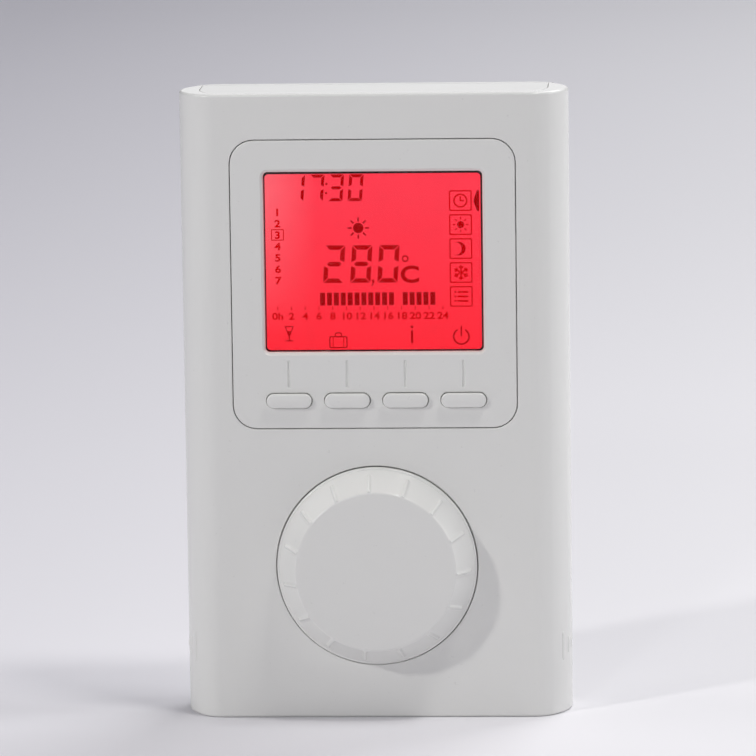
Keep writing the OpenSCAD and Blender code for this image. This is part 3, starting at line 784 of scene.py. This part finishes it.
# One bar for each hour between 6 and 23 o'clock. The one at `off_bar`, from 17 to 18, is not lit
off_bar = 11
for i in range(17):
    if i != off_bar:
        segment(dark, rounded_loop(-10.9 + 1.45 * i, 89.37, 1.02, 2.7, 0.05, 2))
segment(dark, circle(-3.2, 104.4, 1.08, 40))
rays(dark, -3.2, 104.4, 8, 1.4, 2.25, 0.34)
segment(dark, polygon((22.25, 112.2), (21.8, 112.2), (21.1, 110.3), (21.1, 109.7), (21.8, 107.85),
                      (22.25, 107.85)))
# Symbols along the foot: a glass, a suitcase, an information sign and a power sign
gx, gz = -18.05, 80.5
glass = polygon(
    (gx - 0.95, gz + 3.15), (gx + 0.95, gz + 3.15), (gx + 0.12, gz + 0.9), (gx + 0.12, gz + 0.15),
    (gx + 0.8, gz + 0.15), (gx + 0.8, gz - 0.08), (gx - 0.8, gz - 0.08), (gx - 0.8, gz + 0.15),
    (gx - 0.12, gz + 0.15), (gx - 0.12, gz + 0.9),
)
empty = polygon((gx - 0.68, gz + 2.95), (gx + 0.68, gz + 2.95), (gx + 0.38, gz + 2.1), (gx - 0.38, gz + 2.1))
segment(inked, glass, [empty])
segment(inked, rounded_loop(-7.7, 80.2, 3.85, 2.6, 0.45), [rounded_loop(-7.7, 80.2, 3.35, 2.1, 0.25)])
segment(inked, rounded_loop(-7.7, 81.75, 1.55, 1.1, 0.5), [rounded_loop(-7.7, 81.7, 1.05, 0.7, 0.3)])
segment(inked, circle(7.84, 83.35, 0.3, 20))
segment(inked, rounded_loop(7.84, 81.25, 0.46, 2.75, 0.08, 3))
half = np.radians(np.linspace(120, 420, 40))
ring_x = np.concatenate([1.78 * np.cos(half), 1.45 * np.cos(half[::-1])])
ring_z = np.concatenate([1.78 * np.sin(half), 1.45 * np.sin(half[::-1])])
segment(inked, (18.22 + ring_x, 81.25 + ring_z))
segment(inked, rounded_loop(18.22, 82.4, 0.3, 2.2, 0.08, 3))
dark.piece("lcd_bars", "unit", "lcd_glass", lcd_ink("segment_dark", srgb(158, 0, 2)))
inked.piece("lcd_digits", "unit", "lcd_glass", lcd_ink("segment_digit", srgb(178, 0, 3)))

light = Skin()
for day in range(1, 8):
    figure(light, str(day), -20.2, 107.1 - 2.41 * (day - 1), 1.55, 0.07)
day_box = rounded_loop(-20.2, 103.05, 2.7, 2.4, 0.05, 2)
segment(light, day_box, [rounded_loop(-20.2, 103.05, 2.3, 2.0, 0.03, 2)])
for i in range(13):
    x = -20.4 + 2.9 * i
    segment(light, rounded_loop(x, 87.42, 0.22, 0.78, 0.05, 2))
    figure(light, "0h" if i == 0 else str(2 * i), x, 85.05, 1.5, 0.06)
box_x, box_zs = 18.3, [110.04 - 5.07 * i for i in range(5)]
for z in box_zs:
    segment(light, rounded_loop(box_x, z, 4.8, 4.4, 0.4), [rounded_loop(box_x, z, 4.26, 3.86, 0.25)])
for offset in (-1.12, 1.12):
    segment(light, rounded_loop(-7.7 + offset, 80.2, 0.22, 2.1, 0.03, 2))
# Clock, sun, crescent, snow star and list in the five frames
segment(light, circle(box_x, box_zs[0], 1.5, 40), [circle(box_x, box_zs[0], 1.17, 40)])
segment(light, rounded_loop(box_x, box_zs[0] + 0.4, 0.32, 1.05, 0.05, 2))
segment(light, rounded_loop(box_x + 0.42, box_zs[0], 0.65, 0.32, 0.05, 2))
rays(light, box_x, box_zs[1], 8, 1.1, 1.65, 0.26)
for spoke in range(6):
    a = math.radians(30 + 60 * spoke)
    along = np.array([math.cos(a), math.sin(a)])
    across = np.array([-along[1], along[0]])
    fork, tips = along * 0.85, along * 1.3
    for start, end in (
        (np.zeros(2), along * 1.6), (fork, tips + across * 0.45), (fork, tips - across * 0.45)
    ):
        line = (end - start) / np.hypot(*(end - start))
        edge = np.array([-line[1], line[0]]) * 0.17
        ends = np.array([start - edge, end - edge, end + edge, start + edge])
        segment(light, (box_x + ends[:, 0], box_zs[3] + ends[:, 1]))
for i in (-1, 0, 1):
    segment(light, rounded_loop(box_x - 1.25, box_zs[4] + 0.95 * i, 0.42, 0.42, 0.1, 3))
    segment(light, rounded_loop(box_x + 0.35, box_zs[4] + 0.95 * i, 2.2, 0.42, 0.1, 3))
light.piece("lcd_marks", "unit", "lcd_glass", lcd_ink("segment_thin", srgb(214, 0, 5)))

filled = Skin()
segment(filled, circle(box_x, box_zs[1], 0.75, 32))
bow = np.radians(np.linspace(-115, 115, 28))
moon_x = np.concatenate([1.45 * np.cos(bow), -0.75 + 1.38 * np.cos(bow[::-1] * 0.93)])
moon_z = np.concatenate([1.45 * np.sin(bow), 1.38 * np.sin(bow[::-1] * 0.93)])
segment(filled, (box_x - 0.45 + moon_x, box_zs[2] + moon_z))
filled.piece("lcd_filled_marks", "unit", "lcd_glass", lcd_ink("segment_filled", srgb(186, 0, 4)))


# ---- Behind the cell ----
# A white nylon frame holds the cell and the light guide, red lamps shine into the guide's ends, and
# two strips of conducting rubber join the glass to the board.
white_nylon = moulding("white_nylon", (0.76, 0.76, 0.74, 1), roughness=0.5, drift=0.05, relief=0.2)
eased("lcd_frame", white_nylon, 0.2)
guide = moulding("etched_acrylic", (0.85, 0.75, 0.76, 1), roughness=0.4, drift=0.05, grain=1200.0,
                 relief=0.4, Transmission_Weight=0.7)
dressed(guide, "light_guide")
lamp_red = moulding("lamp_epoxy", (0.8, 0.06, 0.05, 1), roughness=0.25, drift=0.1)
dressed(lamp_red, "backlight_leds")
zebra = moulding("zebra_rubber", (0.09, 0.09, 0.10, 1), roughness=0.7, drift=0.3, relief=0.4)
dressed(zebra, "zebra_strips")


# ---- Board and its components ----
# One glass-epoxy board under green resist carries the processor, crystal, relay, capacitors, mains
# socket, temperature bead, encoder and key switches.
resist = bpy.data.materials.new("board_resist")
resist.use_nodes = True
tree = resist.node_tree
place = add_node(tree, "TexCoord").outputs["Object"]
turned = add_node(tree, "Mapping", {"Vector": place, "Rotation": (math.pi / 2, 0, 0)})
tracks = add_node(tree, "TexBrick", {
    "Vector": turned.outputs[0], "Scale": 160.0, "Mortar Size": 0.12, "Mortar Smooth": 0.1,
    "Color1": (0.0, 0.0, 0.0, 1), "Color2": (0.25, 0.25, 0.25, 1), "Mortar": (1, 1, 1, 1),
}, offset=0.35)
weave = add_node(tree, "TexNoise", {"Vector": place, "Scale": 1800.0, "Detail": 3.0})
resist_colour = add_node(tree, "Mix", {
    "Factor": tracks.outputs["Color"], "A": (0.010, 0.085, 0.035, 1), "B": (0.03, 0.19, 0.075, 1)
}, data_type="RGBA")
relief = add_node(tree, "Math", {
    0: tracks.outputs["Fac"], 1: weave.outputs["Fac"]
}, operation="MULTIPLY_ADD")
bump = add_node(tree, "Bump", {"Height": relief.outputs[0], "Strength": 0.3, "Distance": 0.00004})
rough = add_node(tree, "MapRange", {"Value": weave.outputs["Fac"], "To Min": 0.25, "To Max": 0.45})
shader = tree.nodes["Principled BSDF"]
tree.links.new(resist_colour.outputs["Result"], shader.inputs["Base Color"])
tree.links.new(rough.outputs["Result"], shader.inputs["Roughness"])
tree.links.new(bump.outputs["Normal"], shader.inputs["Normal"])
dressed(resist, "main_board")
chip = moulding("moulded_epoxy", (0.02, 0.02, 0.022, 1), roughness=0.5, drift=0.1, relief=0.4)
dressed(chip, "microcontroller", "temperature_sensor")
relay_blue = moulding("relay_blue", (0.03, 0.10, 0.38, 1), roughness=0.35, drift=0.08)
eased("relay", relay_blue, 0.4)
sleeve = moulding("capacitor_sleeve", (0.03, 0.03, 0.09, 1), roughness=0.3, drift=0.08)
eased("capacitors", sleeve, 0.4)
eased("contact_socket", dark_nylon, 0.2)
encoder_metal = worn_metal("encoder_zinc", (0.6, 0.61, 0.63, 1), 0.35, (1, 3, 1))
dressed(encoder_metal, "encoder_body", "encoder_shaft")
dressed(steel, "encoder_nut", "clock_crystal")
switch_black = moulding("switch_nylon", (0.02, 0.02, 0.022, 1), roughness=0.4, drift=0.1, relief=0.2)
dressed(switch_black, "key_switches", *(f"switch_plunger_{i}" for i in (1, 2, 3, 4)))
dressed(steel, "board_screws", "case_screws")


# ---- Batteries ----
# Two AAA cells lie across the bay, pointing opposite ways. A steel can is rolled in over a plastic
# jacket at both ends; each rests on a plated plate and is pushed by a coil spring.
jacket = bpy.data.materials.new("cell_jacket")
jacket.use_nodes = True
tree = jacket.node_tree
place = add_node(tree, "TexCoord").outputs["UV"]
along = add_node(tree, "SeparateXYZ", {"Vector": place})
bands = add_node(tree, "ValToRGB", {"Fac": along.outputs["X"]})
bands.color_ramp.interpolation = "CONSTANT"
bands.color_ramp.elements[0].color = (0.62, 0.63, 0.65, 1)
bands.color_ramp.elements[1].position = 0.15
bands.color_ramp.elements[1].color = (0.02, 0.09, 0.06, 1)
for position, colour in ((0.66, (0.55, 0.32, 0.10, 1)), (0.90, (0.62, 0.63, 0.65, 1))):
    bands.color_ramp.elements.new(position).color = colour
bare = add_node(tree, "ValToRGB", {"Fac": along.outputs["X"]})
bare.color_ramp.interpolation = "CONSTANT"
bare.color_ramp.elements[0].color = (1, 1, 1, 1)
bare.color_ramp.elements[1].position = 0.15
bare.color_ramp.elements[1].color = (0.25, 0.25, 0.25, 1)
bare.color_ramp.elements.new(0.90).color = (1, 1, 1, 1)
scuffs = add_node(tree, "TexNoise", {
    "Vector": add_node(tree, "TexCoord").outputs["Object"], "Scale": 900.0, "Detail": 5.0
})
rough = add_node(tree, "MapRange", {"Value": scuffs.outputs["Fac"], "To Min": 0.2, "To Max": 0.45})
bump = add_node(tree, "Bump", {"Height": scuffs.outputs["Fac"], "Strength": 0.1, "Distance": 0.00003})
shader = tree.nodes["Principled BSDF"]
tree.links.new(bands.outputs["Color"], shader.inputs["Base Color"])
tree.links.new(bare.outputs["Color"], shader.inputs["Metallic"])
tree.links.new(rough.outputs["Result"], shader.inputs["Roughness"])
tree.links.new(bump.outputs["Normal"], shader.inputs["Normal"])


def battery(name, node, side):
    """Profile of a cell turned about its long axis: flat end, rolled rims, button. The first UV
    coordinate runs along the profile."""
    low, high = (Vector(v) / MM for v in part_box(node))
    depth = (low.y + high.y) / 2 - FRONT
    z = (low.z + high.z) / 2
    length = high.x - low.x
    profile = np.array([
        (0, 0), (2.6, 0), (2.7, 0.25), (4.6, 0.25), (4.75, 0.02), (5.0, 0.05), (5.1, 0.3), (5.1, 0.7),
        (5.25, 0.85), (5.25, 42.9), (5.1, 43.05), (5.1, 43.4), (4.95, 43.65), (4.6, 43.7), (4.4, 43.4),
        (2.5, 43.4), (1.9, 43.7), (1.9, length - 0.15), (1.75, length), (0, length),
    ])
    start = low.x if side == 1 else high.x
    turns = np.arange(65) * 2 * np.pi / 64
    skin = Skin()
    rows = [skin.row(start + side * x, depth + r * np.cos(turns), z + r * np.sin(turns))
            for r, x in profile]
    skin.stack(rows, closed=False)
    piece = skin.piece(name, "unit", "cell_jacket", jacket, node, angle=25)
    layer = piece.data.uv_layers.new(name="along")
    corners = np.zeros(len(piece.data.loops), int)
    piece.data.loops.foreach_get("vertex_index", corners)
    places = np.zeros(len(piece.data.vertices) * 3)
    piece.data.vertices.foreach_get("co", places)
    share = np.abs(places.reshape(-1, 3)[corners, 0] / MM - start) / 45
    layer.data.foreach_set("uv", np.stack([0.1 + 0.85 * share, np.zeros_like(share)], -1).ravel())


battery("battery_lower_cell", "battery_lower", 1)
battery("battery_upper_cell", "battery_upper", -1)


def coils(node):
    """Round wire along two cone-shaped helices: the radius falls from 3.6 to 2 over three turns, and
    a circle of the wire's radius is carried along at right angles to the path."""
    low, high = (Vector(v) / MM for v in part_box(node))
    depth = (low.y + high.y) / 2 - FRONT
    skin = Skin()
    length, wire, coil_count, wide_r, narrowing = 5.0, 0.35, 3, 3.6, 1.6
    share = np.linspace(0, 1, coil_count * 40 + 1)[:, None]
    turn = share * coil_count * 2 * np.pi
    radius = wide_r - narrowing * share
    section = (np.arange(10) * 2 * np.pi / 10)[None, :]
    for side, z in ((-1, 24.1), (1, 35.9)):
        end = 25.3 - 0.42
        rise = wire + share * (length - 2 * wire) + wire * np.sin(section)
        reach = radius + wire * np.cos(section)
        x = side * (end - rise)
        d = depth + reach * np.sin(turn)
        h = z + reach * np.cos(turn)
        rows = [skin.row(x[i], d[i], h[i]) for i in range(len(share))]
        skin.stack(rows)
        skin.faces += [rows[0].tolist(), rows[-1].tolist()]
    skin.piece("battery_springs_wire", "unit", "steel", steel, node)


coils("battery_springs")
dressed(steel, "battery_contacts")


# ---- Dial ----
# One white moulding on the encoder's shaft: a faintly domed face, a sloping ring with fifteen thin
# finger ribs, and a rounded foot that turns inside the recess of the sleeve.
dial_white = moulding("dial_white_abs", (0.80, 0.80, 0.78, 1), roughness=0.235, drift=0.03, relief=0.06)
face_r, foot_r, proud, ribs, phase = 16.9, 21.15, 7.8, 15, -2
crown, rim_h, bevel = 0.35, 0.9, 0.45
rib_half, rib_height, rib_share = 0.55, 0.34, 0.8
# Parts of the slope's outward normal, away from the axis and out of the front
slope_out, slope_up = 0.865, 0.502


def dial_profile():
    """Radius, height above the front, and how far along the slope from the face's edge."""
    r = np.linspace(0.4, face_r - 0.35, 14)
    face = np.stack([r, proud - crown * (r / face_r) ** 2, np.full_like(r, -1)], -1)
    run, rise = foot_r - bevel - face_r, proud - crown - rim_h
    a = np.linspace(0.15, 1, 4)
    brow_r = face_r - 0.35 + 0.35 * a + 0.02 * a
    brow = np.stack([brow_r, proud - crown + 0.01 - 0.12 * a**2, np.full_like(a, -1)], -1)
    t = np.linspace(0.03, 1, 26)
    slope = np.stack([face_r + run * t, proud - crown - rise * t, t], -1)
    b = np.linspace(0.2, 1, 5) * np.pi / 2
    foot = np.stack([
        foot_r - bevel + bevel * np.sin(b), rim_h - bevel + bevel * np.cos(b), np.full_like(b, -1)
    ], -1)
    rest = np.array([
        (foot_r, -0.9, -1), (foot_r - 0.1, -1, -1), (foot_r - 1.7, -1, -1), (foot_r - 1.7, rim_h, -1),
        (face_r - 0.85, proud - 2.05, -1), (5, proud - 1.9, -1), (5, 1.4, -1), (3.02, 1.4, -1),
        (3.02, 6.05, -1), (0.4, 6.05, -1),
    ])
    return np.concatenate([face, brow, slope, foot, rest])


dial = Skin()
per_rib = np.concatenate([np.linspace(-1, 1, 15) * rib_half / 19, np.linspace(0.06, 0.36, 12)])
turns = np.concatenate([np.radians(phase + 24 * i) + per_rib for i in range(ribs)])
offset = (turns - np.radians(phase) + np.pi / ribs) % (2 * np.pi / ribs) - np.pi / ribs
rows = []
for r, height, share in dial_profile():
    lift = np.zeros_like(turns)
    if share >= 0:
        across = np.clip(np.abs(offset) * r / rib_half, 0, 1)
        ends = min(1.0, share / 0.06) * min(1.0, max(0.0, (rib_share - share) / 0.06))
        lift = rib_height * np.cos(across * np.pi / 2) ** 1.5 * math.sin(ends * math.pi / 2)
    reach = r + slope_out * lift
    rows.append(dial.row(reach * np.cos(turns), -(height + slope_up * lift), dial_z + reach * np.sin(turns)))
dial.stack(rows)
dial.faces += [rows[0].tolist(), rows[-1].tolist()]
dial.piece("dial_knob_moulded", "dial", "dial_plastic", dial_white, "dial_knob", angle=38,
           by_area=False)


# ---- Keys ----
# Four oblong white keys with rounded edges and a faint crown, each with a collar behind the panel
# that keeps it in its hole.
key_white = moulding("key_white_abs", (0.80, 0.80, 0.78, 1), roughness=0.33, drift=0.03, relief=0.06)
key_proud, key_edge_r, key_crown = 1.0, 0.35, 0.12
for i, x in enumerate(key_xs, 1):
    key = Skin()
    grow = np.linspace(1.3, key_edge_r, 6)
    crown_rows = [(-g, -key_proud - key_crown + key_crown * (1 - (g - key_edge_r) / 1.2) ** 2)
                  for g in grow]
    a = np.linspace(0, np.pi / 2, 6)[1:]
    edge_rows = list(zip(-key_edge_r * (1 - np.sin(a)), -key_proud + key_edge_r * (1 - np.cos(a))))
    collar = [(0, 3.15), (0.6, 3.15), (0.6, 3.6)]
    rows = ringed(key, x, key_z, key_w, key_h, key_h / 2 - 0.01, crown_rows + edge_rows + collar, 14)
    key.flat(rows[0])
    key.flat(rows[-1])
    key.piece(f"key_{i}_moulded", f"key_{i}", "key_plastic", key_white, f"key_{i}")
